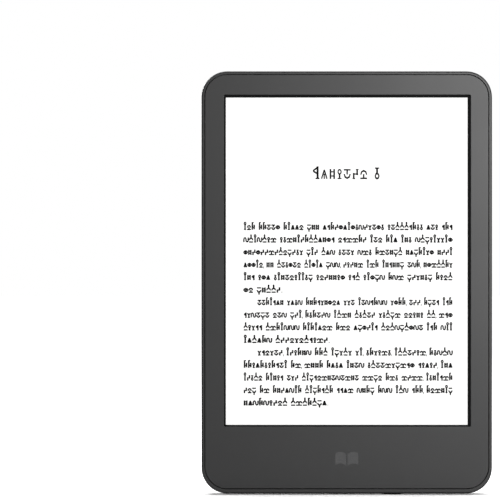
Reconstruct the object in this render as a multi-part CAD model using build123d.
from build123d import *
import os

# An e-reader with a 6 inch paper-like screen, standing on its lower edge.
# Every piece is drawn as the reader lies on its back: X to the right, Y up the page from the lower edge,
# Z towards the person reading, with Z = 0 half way through. save() then stands the piece up: Z becomes -Y.

# ---- driving dimensions, in millimetres ----
width = 108.6
height = 157.8
depth = 8.0
corner_radius = 9.6
front = depth / 2
back = -depth / 2

wall = 1.1                     # thickness of the rear cover on its soft edge
floor = back + 1.2             # inside face of the rear cover
rim = 1.05                     # edge of the rear cover that shows round the bezel
rim_below = 1.6                # the same at the lower edge
groove = 0.3                   # gap between the rim and the bezel
ledge = 0.7                    # step inside the rim that the bezel's skirt sits over
ledge_top = 2.2
soft_in = 6.0                  # the soft back edge, measured in from the side
soft_deep = 3.2                # and forwards from the back
side_round = 4.0
back_round = 11.0
rim_round = 0.6

page_width = 90.4              # lit area of the screen
page_height = 122.4
page_low = 25.6                # from the lower edge to the page
page_high = page_low + page_height
window_left = -page_width / 2 - 0.70
window_right = page_width / 2 + 1.10
window_low = page_low - 0.60
window_high = page_high + 1.00
window_edge = 0.15             # rounding of the window's front edge
lip = 1.0                      # thickness of the bezel over the screen
lip_back = front - lip

panel_half = 50.9              # the glass panel, from the middle to its side
panel_low = 14.5
panel_high = 151.5
panel_corner = 2.5
guide_half = 49.4              # the light guide and the films
guide_low = 21.5
guide_high = 151.0

# the screen's layers, each from its back to its front
glass_back, glass_front = 1.30, 1.80
paper_front = 2.10
guide_front = 2.50
touch_front = 2.70
film_front = 2.80
mask_front = 2.86

frame_back, frame_front = 0.50, 1.25     # plate of the mid frame
frame_half = 52.0
frame_low = 2.9
frame_high = 155.5
frame_wall = 0.9
frame_wall_top = 2.85
frame_corner = 7.3

board_back, board_front = -1.40, -0.60   # the circuit board's two faces
board_half = 43.0
board_low = 5.0
board_high = 52.0

port_z = 0.2                   # height of the charging port's and button's middle line
port_width, port_thick = 8.94, 3.16      # outside of the port's steel shell
port_wall = 0.3
port_start, port_end = 0.80, 7.7
port_clearance = 0.15

button_x = 17.2
button_width, button_thick = 7.0, 1.9
button_proud = 0.4             # how far it stands out of the lower edge
button_travel = 0.25
dome_rise = 0.45               # height of the switch's steel dome
button_clearance = 0.15
flange_low, flange_high = 1.35, 1.90
flange_half = 3.9
stem_end = 3.9
collar_low, collar_high = 5.6, 5.95      # the switch plunger's collar
pipe_x = 12.4                  # the charging light's pipe
pipe_radius = 0.5

cell_half = 31.0
cell_low, cell_high = 58.0, 136.0
cell_back, cell_front = floor + 0.15, 0.35

screw_radius = 0.7
screw_slack = 0.03
boss_radius = 1.9
frame_screw_length = 3.2
board_screw_length = 2.4
frame_screw_points = [(-47.5, 9), (-27, 7.2), (27, 7.2), (47.5, 9), (-46, 153.6), (0, 153.6), (46, 153.6)]
board_screw_points = [(-38, 47), (38, 47), (-38, 14), (38, 14)]

emblem_y = height - 43.8
emblem_size = (30, 19, 1.2)    # span, rise and the gap between its leaves
mark_y = 12.8
mark_size = (8.6, 5.6, 0.5)
emblem_thick = 0.25
mark_thick = 0.1
inlay_slack = 0.02


# ---- helpers ----
def save(name, shape):
    standing = Pos(0, 0, button_proud) * Rot(90, 0, 0) * shape
    export_step(standing, os.path.join("parts", name + ".step"))


def plate(x, y, size_x, size_y, z_low, z_high, corner=0):
    # a flat block with its four upright edges rounded
    sketch = RectangleRounded(size_x, size_y, corner) if corner else Rectangle(size_x, size_y)
    return extrude(Pos(x, y, z_low) * sketch, z_high - z_low)


def block(x_low, x_high, y_low, y_high, z_low, z_high, corner=0):
    middle_x, middle_y = (x_low + x_high) / 2, (y_low + y_high) / 2
    return plate(middle_x, middle_y, x_high - x_low, y_high - y_low, z_low, z_high, corner)


def post(x, y, radius, z_low, z_high):
    return extrude(Pos(x, y, z_low) * Circle(radius), z_high - z_low)


def upwards(sketch, x, y_low, z, y_high):
    # a sketch drawn across the reader's thickness, extruded up the page
    across = Plane(origin=(x, y_low, z), x_dir=(1, 0, 0), z_dir=(0, 1, 0))
    return extrude(across * sketch, y_high - y_low)


def outline(inset, inset_below):
    # the reader's outline, moved inwards
    shape = RectangleRounded(width - 2 * inset, height - inset - inset_below, corner_radius - inset)
    return Pos(0, (height - inset + inset_below) / 2, 0) * shape


def soft_block(inset, inset_below, z_low, z_high, inwards, forwards, round_side, round_back):
    # a slab whose back edge is cut at a slant and then rounded twice, so that it reads as one soft curve
    slab = extrude(Pos(0, 0, z_low) * outline(inset, inset_below), z_high - z_low)
    back_face = slab.faces().sort_by(Axis.Z)[0]
    slab = chamfer(back_face.edges(), length=inwards, length2=forwards, reference=back_face)
    flat_edges = slab.faces().sort_by(Axis.Z)[0].edges()
    slab = fillet(flat_edges, round_back)
    side_edges = slab.edges().filter_by_position(Axis.Z, z_low + forwards - 0.01, z_low + forwards + 0.01)
    return fillet(side_edges, round_side)


def inner_slant(inset):
    # the slant of the cavity that keeps the soft edge one wall thick: how far inwards, how far forwards
    slant = (soft_in ** 2 + soft_deep ** 2) ** 0.5
    across, along = soft_deep / slant, soft_in / slant
    reach = along * (back + soft_deep) + wall
    side_z = (reach - across * inset) / along
    floor_inset = (reach - along * floor) / across
    return floor_inset - inset, side_z - floor


def open_book(span, rise, gap):
    # two leaves side by side, with bowed upper and lower edges
    inner, outer = gap / 2, span / 2
    middle = (inner + outer) / 2
    top = ThreePointArc((inner, rise * 0.34), (middle, rise * 0.50), (outer, rise * 0.40))
    side = Line((outer, rise * 0.40), (outer, -rise * 0.38))
    bottom = ThreePointArc((outer, -rise * 0.38), (middle, -rise * 0.28), (inner, -rise * 0.46))
    spine = Line((inner, -rise * 0.46), (inner, rise * 0.34))
    leaf = make_face(top + side + bottom + spine)
    return leaf + mirror(leaf, Plane.YZ)


def screw(x, y, seat, head_radius, head_height, length):
    # a flat-headed screw seen from above, with a cross recess
    head = post(x, y, head_radius, seat, seat + head_height)
    head = chamfer(head.edges().sort_by(Axis.Z)[-1], 0.1)
    shank = post(x, y, screw_radius, seat - length, seat)
    shank = chamfer(shank.edges().sort_by(Axis.Z)[0], 0.2)
    slot_length, slot_width = head_radius * 1.1, 0.28
    recess = plate(x, y, slot_length, slot_width, seat + 0.15, seat + 1)
    recess += plate(x, y, slot_width, slot_length, seat + 0.15, seat + 1)
    return head + shank - recess


def ribbon(x, strip_width, points, bend):
    # a flat flexible cable 0.1 thick, following points given as (y, z)
    path = FilletPolyline(*[(x, y, z) for y, z in points], radius=bend)
    start = Plane(origin=path @ 0, x_dir=(1, 0, 0), z_dir=path % 0)
    return sweep(start * Rectangle(strip_width, 0.1), path=path)


def wire(points, radius, bend):
    path = FilletPolyline(*points, radius=bend)
    start = Plane(origin=path @ 0, z_dir=path % 0)
    return sweep(start * Circle(radius), path=path)


# ---- casing ----
def make_body():
    return soft_block(0, 0, back, front, soft_in, soft_deep, side_round, back_round)


def make_rear_cover(body):
    rim_edges = body.faces().sort_by(Axis.Z)[-1].edges()
    cover = fillet(rim_edges, rim_round)
    inset = rim + ledge
    inset_below = rim_below + ledge
    inwards, forwards = inner_slant(inset)
    cavity = soft_block(
        inset, inset_below, floor, ledge_top + 0.5, inwards, forwards, side_round - wall, back_round - wall
    )
    cover -= cavity
    cover -= extrude(Pos(0, 0, ledge_top) * outline(rim, rim_below), front)

    # screw bosses, kept inside the outer skin
    bosses = [post(x, y, boss_radius, floor - 0.4, frame_back) for x, y in frame_screw_points]
    bosses += [post(x, y, boss_radius, floor - 0.4, board_back) for x, y in board_screw_points]
    for boss in bosses:
        cover += boss & body
    for x, y in frame_screw_points:
        cover -= post(x, y, screw_radius + screw_slack, frame_front - frame_screw_length - 0.15, front)
    for x, y in board_screw_points:
        cover -= post(x, y, screw_radius + screw_slack, board_front - board_screw_length - 0.15, front)

    # ribs that keep the battery in its place
    rib, rib_top = 0.8, floor + 1.6
    side_x = cell_half + 0.4 + rib / 2
    for sign in (-1, 1):
        for y in (cell_low + 14, cell_high - 14):
            cover += plate(sign * side_x, y, rib, 16, floor - 0.2, rib_top)
        cover += plate(sign * 18, cell_high + 0.4 + rib / 2, 14, rib, floor - 0.2, rib_top)

    # the charging port, the button's slot and the pocket for its flange, the hole of the light pipe
    cut = 2 * port_clearance
    cover -= upwards(SlotOverall(port_width + cut, port_thick + cut), 0, -1, port_z, port_end + 1.5)
    cut = 2 * button_clearance
    slot = RectangleRounded(button_width + cut, button_thick + cut, 0.45 * (button_thick + cut))
    cover -= upwards(slot, button_x, -1, port_z, flange_low)
    pocket_back, pocket_front = port_z - button_thick / 2 - button_clearance, 1.65
    pocket_half = flange_half + button_clearance
    pocket_low = flange_low - 0.05
    cover -= block(
        button_x - pocket_half, button_x + pocket_half, pocket_low, board_low, pocket_back, pocket_front
    )
    cover -= upwards(Circle(pipe_radius + screw_slack), pipe_x, -1, port_z, board_low)

    # the emblem's pocket in the back
    pocket = Pos(0, emblem_y, back) * offset(open_book(*emblem_size), inlay_slack)
    return cover - extrude(pocket, emblem_thick)


def make_rear_emblem():
    return extrude(Pos(0, emblem_y, back) * open_book(*emblem_size), emblem_thick)


def make_front_bezel():
    inset, inset_below = rim + groove, rim_below + groove
    bezel = extrude(Pos(0, 0, lip_back) * outline(inset, inset_below), lip)
    bezel = fillet(bezel.faces().sort_by(Axis.Z)[-1].edges(), 0.12)
    skirt_base = ledge_top + 0.05
    skirt = outline(inset, inset_below) - outline(inset + 0.8, inset_below + 0.8)
    bezel += extrude(Pos(0, 0, skirt_base) * skirt, lip_back - skirt_base)
    window = block(window_left, window_right, window_low, window_high, lip_back - 1, front + 1, 0.5)
    bezel -= window
    face = bezel.faces().filter_by_position(Axis.Z, front - 0.001, front + 0.001)[0]
    bezel = fillet(face.inner_wires()[0].edges(), window_edge)
    pocket = Pos(0, mark_y, front - mark_thick) * offset(open_book(*mark_size), inlay_slack)
    return bezel - extrude(pocket, mark_thick)


def make_front_mark():
    return extrude(Pos(0, mark_y, front - mark_thick) * open_book(*mark_size), mark_thick)


def frame_outline(inset=0):
    shape_height = frame_high - frame_low - 2 * inset
    shape = RectangleRounded(2 * (frame_half - inset), shape_height, frame_corner - inset)
    return Pos(0, (frame_low + frame_high) / 2, 0) * shape


def make_notches():
    # room in the frame's lower wall for the port, and for the switch and the light pipe
    notch_low, notch_high = frame_low - 1, 9.5
    return [
        block(-6, 6, notch_low, notch_high, 0, front),
        block(pipe_x - 1.2, button_x + 4.4, notch_low, notch_high, 0, front),
    ]


def make_mid_frame():
    frame = extrude(Pos(0, 0, frame_back) * frame_outline(), frame_front - frame_back)
    ring = frame_outline() - frame_outline(frame_wall)
    frame += extrude(Pos(0, 0, frame_back) * ring, frame_wall_top - frame_back)
    # stiffening bars between the panel's lower edge and the wall
    for sign in (-1, 1):
        frame += block(
            sign * 40 - 0.5, sign * 40 + 0.5, frame_low, panel_low - 0.3, frame_back, frame_wall_top - 0.4
        )
    for notch in make_notches():
        frame -= notch
    # slots for the three flexible cables
    for x, slot_width in ((-9, 27), (30, 10), (-31, 7)):
        frame -= block(x - slot_width / 2, x + slot_width / 2, 11.6, 14.2, 0, frame_front + 0.5)
    # seats and holes for the screws, and lightening windows behind the panel
    for x, y in frame_screw_points:
        frame -= post(x, y, 1.45, frame_front, front)
        frame -= post(x, y, screw_radius + 0.1, 0, front)
    for sign in (-1, 1):
        for y in (40, 70, 100, 130):
            frame -= plate(sign * 41, y, 12, 20, 0, front, 2)
    return frame


def make_bezel_adhesive():
    ring = frame_outline() - frame_outline(frame_wall)
    tape = extrude(Pos(0, 0, frame_wall_top) * ring, lip_back - frame_wall_top)
    for notch in make_notches():
        tape -= notch
    for x, y in frame_screw_points:
        tape -= post(x, y, 1.45, 0, front)
    return tape


# ---- screen ----
def page_block(grow, z_low, z_high):
    return block(
        -page_width / 2 - grow, page_width / 2 + grow, page_low - grow, page_high + grow, z_low, z_high
    )


def make_screen_mask():
    mask = block(-guide_half, guide_half, guide_low, guide_high, film_front, mask_front)
    return mask - page_block(0, film_front - 1, front)


def make_screen_gasket():
    return page_block(3.0, mask_front, lip_back) - page_block(1.3, mask_front - 1, front)


def make_front_light_strip():
    strip = block(-42, 42, 18.9, guide_low - 0.1, paper_front, paper_front + 0.1)
    tail = ribbon(-31, 5, [(18.9, 2.15), (12.9, 2.15), (12.9, -0.15), (14.4, -0.15)], 0.5)
    return strip + tail


def make_front_light_leds():
    leds = [plate(x, 20.85, 3.0, 1.1, paper_front + 0.1, guide_front - 0.02) for x in (-36, -12, 12, 36)]
    return Compound(leds)


def make_display_flex():
    return ribbon(-9, 24, [(16.4, 1.85), (12.9, 1.85), (12.9, -0.15), (14.4, -0.15)], 0.5)


def make_touch_flex():
    return ribbon(30, 7, [(guide_low, 2.6), (12.9, 2.6), (12.9, -0.15), (14.4, -0.15)], 0.5)


# ---- battery ----
def make_battery_cell():
    cell = block(-cell_half, cell_half, cell_low, cell_high, cell_back, cell_front, 2.0)
    edges = cell.faces().sort_by(Axis.Z)[-1].edges() + cell.faces().sort_by(Axis.Z)[0].edges()
    cell = fillet(edges, 0.7)
    # the heat-sealed strip at the end where the tabs come out
    return cell + block(-cell_half + 2, cell_half - 2, cell_low - 0.9, cell_low + 1, -1.0, -0.7)


def make_battery_adhesive():
    strips = [plate(x, (cell_low + cell_high) / 2, 9, 64, floor, cell_back, 1) for x in (-16, 16)]
    return Compound(strips)


def make_battery_leads():
    # three wires in a gentle bow from the protection board down to the plug
    wires = []
    for number in (-1, 0, 1):
        end_x, start_x = 22 + number * 1.2, 15 + number * 1.6
        wires.append(wire([(start_x, 54.5, -0.25), (start_x, 53.2, -0.25), (end_x, 51.9, -0.25),
                           (end_x, 50.2, -0.25)], 0.3, 0.7))
    return Compound(wires)


# ---- circuit board and what is on it ----
def make_main_board():
    board = block(-board_half, board_half, board_low, board_high, board_back, board_front, 4)
    board -= block(-port_width / 2 - 0.15, port_width / 2 + 0.15, 0, port_end + 0.15, -3, 3)
    for x, y in frame_screw_points:
        board -= post(x, y, boss_radius + 0.4, -3, 3)
    for x, y in board_screw_points:
        board -= post(x, y, screw_radius + 0.1, -3, 3)
    # a step in the upper edge leaves room for the battery's leads
    return board - block(-6, 6, board_high - 3, board_high + 1, -3, 3, 1)


def make_shield(x, y, size_x, size_y):
    can = plate(x, y, size_x, size_y, board_front, board_front + 0.95, 0.8)
    can = fillet(can.faces().sort_by(Axis.Z)[-1].edges(), 0.2)
    can -= plate(x, y, size_x - 0.3, size_y - 0.3, board_front - 1, board_front + 0.8, 0.65)
    step_x, step_y = (size_x - 4) / 5, (size_y - 4) / 3
    holes = [
        post(x + (column - 2.5) * step_x, y + (row - 1.5) * step_y, 0.4, board_front, front)
        for column in range(6)
        for row in range(4)
    ]
    for hole in holes:
        can -= hole
    return can


def make_chip(x, y, size_x, size_y, thickness):
    chip = plate(x, y, size_x, size_y, board_front, board_front + thickness, 0.2)
    # the dot that marks its first leg
    return chip - post(x - size_x / 2 + 1, y + size_y / 2 - 1, 0.35, board_front + thickness - 0.06, front)


def make_connector(x, y, size_x, size_y):
    # a flat-cable connector with a hinged latch bar along its back
    body = block(x - size_x / 2, x + size_x / 2, y, y + size_y, board_front, board_front + 0.9)
    body -= block(x - size_x / 2 + 0.6, x + size_x / 2 - 0.6, y + 1.2, y + 1.5, board_front + 0.6, front)
    for sign in (-1, 1):
        centre = x + sign * (size_x / 2 + 0.35)
        body += block(centre - 0.35, centre + 0.35, y + 1.8, y + size_y - 0.4, board_front, board_front + 0.2)
    return body


def make_inductors():
    coils = []
    for x, y in ((22, 21), (28, 27), (-37, 24)):
        coil = plate(x, y, 4, 4, board_front, board_front + 0.9, 1.0)
        coils.append(fillet(coil.faces().sort_by(Axis.Z)[-1].edges(), 0.25))
    return Compound(coils)


def make_passives():
    # rows of ceramic capacitors and resistors on both faces
    blocks = []
    for x_start, y, count in ((-33, 19.6, 11), (-33, 45.6, 15), (4, 44.6, 8), (8, 24.5, 6)):
        for number in range(count):
            x = x_start + number * 1.9
            blocks.append(plate(x, y, 0.6, 1.2, board_front, board_front + 0.45))
    for row in range(4):
        for column in range(9):
            x, y = -28 + column * 2.4, 24 + row * 4
            blocks.append(plate(x, y, 1.2, 0.6, board_back - 0.45, board_back))
    return Compound(blocks)


# ---- charging port ----
def make_usb_shell():
    shell = upwards(SlotOverall(port_width, port_thick), 0, port_start, port_z, port_end)
    inside = SlotOverall(port_width - 2 * port_wall, port_thick - 2 * port_wall)
    shell -= upwards(inside, 0, port_start - 1, port_z, port_end + 1)
    # feet that are soldered to the board
    for sign in (-1, 1):
        centre = sign * (port_width / 2 + 0.5)
        foot = block(centre - 0.8, centre + 0.8, 5.2, 6.6, board_front, board_front + 0.25)
        shell += foot - upwards(inside, 0, 0, port_z, port_end + 1)
    return shell


def make_usb_tongue():
    base = SlotOverall(port_width - 2 * port_wall - 0.04, port_thick - 2 * port_wall - 0.04)
    tongue = upwards(base, 0, 6.3, port_z, port_end)
    blade = upwards(RectangleRounded(6.69, 0.7, 0.3), 0, 1.4, port_z, 6.4)
    return tongue + blade


def make_usb_contacts():
    contacts = []
    for side in (-1, 1):
        z = port_z + side * 0.375
        for number in range(12):
            x = (number - 5.5) * 0.5
            contacts.append(block(x - 0.12, x + 0.12, 1.9, 6.2, z - 0.025, z + 0.025))
    return Compound(contacts)


# ---- power button ----
def make_power_button():
    cap = RectangleRounded(button_width, button_thick, 0.45 * button_thick)
    button = upwards(cap, button_x, -button_proud, port_z, flange_low)
    button = fillet(button.faces().sort_by(Axis.Y)[0].edges(), 0.3)
    button += block(
        button_x - flange_half, button_x + flange_half, flange_low, flange_high,
        port_z - button_thick / 2, 1.5
    )
    return button + block(button_x - 1.3, button_x + 1.3, flange_high - 0.1, stem_end, -0.3, 0.7)


def make_switch_plunger():
    plunger = block(button_x - 1.2, button_x + 1.2, stem_end, collar_high, -0.25, 0.65)
    return plunger + block(button_x - 1.5, button_x + 1.5, collar_low, collar_high, -0.25, 0.65)


def make_switch_body():
    case = block(button_x - 3.0, button_x + 3.0, 5.2, 8.6, board_front, 1.25)
    case = chamfer(case.edges().filter_by(Axis.Y), 0.2)
    case -= block(button_x - 1.25, button_x + 1.25, 5, collar_high, -0.3, 0.7)
    # the chamber for the plunger's collar, its travel and the dome behind it
    chamber_end = collar_high + button_travel + dome_rise + 0.25
    return case - block(button_x - 1.6, button_x + 1.6, collar_low - 0.05, chamber_end, -0.4, 0.85)


def make_switch_dome():
    # a thin bowed strip of spring steel, its crown against the plunger
    half, crown, thick = 1.45, collar_high, 0.08
    feet = crown + dome_rise
    outer = ThreePointArc((-half, feet), (0, crown), (half, feet))
    inner = ThreePointArc((half, feet + thick), (0, crown + thick), (-half, feet + thick))
    left = Line((-half, feet + thick), (-half, feet))
    right = Line((half, feet), (half, feet + thick))
    strip = make_face(outer + right + inner + left)
    return extrude(Pos(button_x, 0, -0.1) * strip, 0.7)


def make_light_pipe(body):
    return upwards(Circle(pipe_radius), pipe_x, -1, port_z, board_low - 0.1) & body


# ---- aerial ----
def make_antenna_flex():
    # a foil strip on the floor of the rear cover, with its printed meander
    strip = block(18, 46, 140, 147, floor, floor + 0.1, 1)
    x = 20
    for number in range(6):
        strip += block(x, x + 3.2, 141 + (number % 2) * 3.2, 142 + (number % 2) * 3.2, floor, floor + 0.16)
        strip += block(x + 2.4, x + 3.2, 141, 145.2, floor, floor + 0.16)
        x += 3.2
    return strip


def make_antenna_lead():
    z = floor + 0.8
    return wire([(39, 139.8, z), (39, 134, z), (37, 128, z), (37, 60, z), (40.5, 55, z), (40.5, 52.4, z)],
                0.4, 2)


os.makedirs("parts", exist_ok=True)
body = make_body()

save("rear_cover", make_rear_cover(body))
save("rear_emblem", make_rear_emblem())
save("front_bezel", make_front_bezel())
save("front_mark", make_front_mark())
save("mid_frame", make_mid_frame())
save("bezel_adhesive", make_bezel_adhesive())

panel = block(-panel_half, panel_half, panel_low, panel_high, glass_back, glass_front, panel_corner)
save("backplane_glass", panel)
save("epaper_film", block(-48.4, 48.4, 22.5, 150.5, glass_front, paper_front))
save("light_guide", block(-guide_half, guide_half, guide_low, guide_high, paper_front, guide_front))
save("touch_film", block(-guide_half, guide_half, guide_low, guide_high, guide_front, touch_front))
save("front_film", block(-guide_half, guide_half, guide_low, guide_high, touch_front, film_front))
save("screen_mask", make_screen_mask())
save("screen_gasket", make_screen_gasket())
save("front_light_strip", make_front_light_strip())
save("front_light_leds", make_front_light_leds())
save("display_driver", plate(-9, 17.6, 22, 1.3, glass_front, glass_front + 0.28))
save("display_flex", make_display_flex())
save("touch_flex", make_touch_flex())

save("battery_cell", make_battery_cell())
save("battery_adhesive", make_battery_adhesive())
save("battery_board", block(2, 28, 54.5, 57.0, -1.2, 0.0, 0.4))
save("battery_leads", make_battery_leads())
save("battery_plug", block(19.8, 24.2, 47.2, 50.2, -0.5, 0.35, 0.2))
socket = block(19, 25, 45.2, 49.6, board_front, 0.4, 0.3)
save("battery_socket", socket - block(19.75, 24.25, 47.15, 51, board_front + 0.08, 1))

save("main_board", make_main_board())
save("processor_shield", make_shield(-16, 32, 32, 20))
save("processor", make_chip(-23, 32, 13, 13, 0.7))
save("memory_chip", make_chip(-8, 32, 11.5, 12, 0.7))
save("storage_chip", make_chip(9, 34, 11.5, 13, 0.8))
save("power_chip", make_chip(15, 16.5, 6, 6, 0.7))
save("radio_shield", make_shield(31, 38, 14, 12))
save("radio_chip", make_chip(31, 38, 8, 8, 0.65))
save("power_inductors", make_inductors())
save("board_passives", make_passives())
save("display_connector", make_connector(-9, 14.4, 26, 4))
save("touch_connector", make_connector(30, 14.4, 8, 3.4))
save("light_connector", make_connector(-31, 14.4, 6, 3.4))
save("hall_sensor", plate(-39.5, 34, 1.6, 2.9, board_front, board_front + 0.9, 0.2))
save("antenna_flex", make_antenna_flex())
save("antenna_lead", make_antenna_lead())
save("antenna_plug", block(39.2, 41.8, 48.6, 52.4, floor + 0.3, board_back, 0.4))

save("usb_shell", make_usb_shell())
save("usb_tongue", make_usb_tongue())
save("usb_contacts", make_usb_contacts())

save("power_button", make_power_button())
save("switch_plunger", make_switch_plunger())
save("switch_body", make_switch_body())
save("switch_dome", make_switch_dome())
save("charge_led", block(11.6, 13.2, board_low + 0.1, board_low + 0.9, board_front, board_front + 1.0, 0.1))
save("light_pipe", make_light_pipe(body))

frame_screws = [screw(x, y, frame_front, 1.3, 0.5, frame_screw_length) for x, y in frame_screw_points]
save("frame_screws", Compound(frame_screws))
board_screws = [screw(x, y, board_front, 1.3, 0.45, board_screw_length) for x, y in board_screw_points]
save("board_screws", Compound(board_screws))
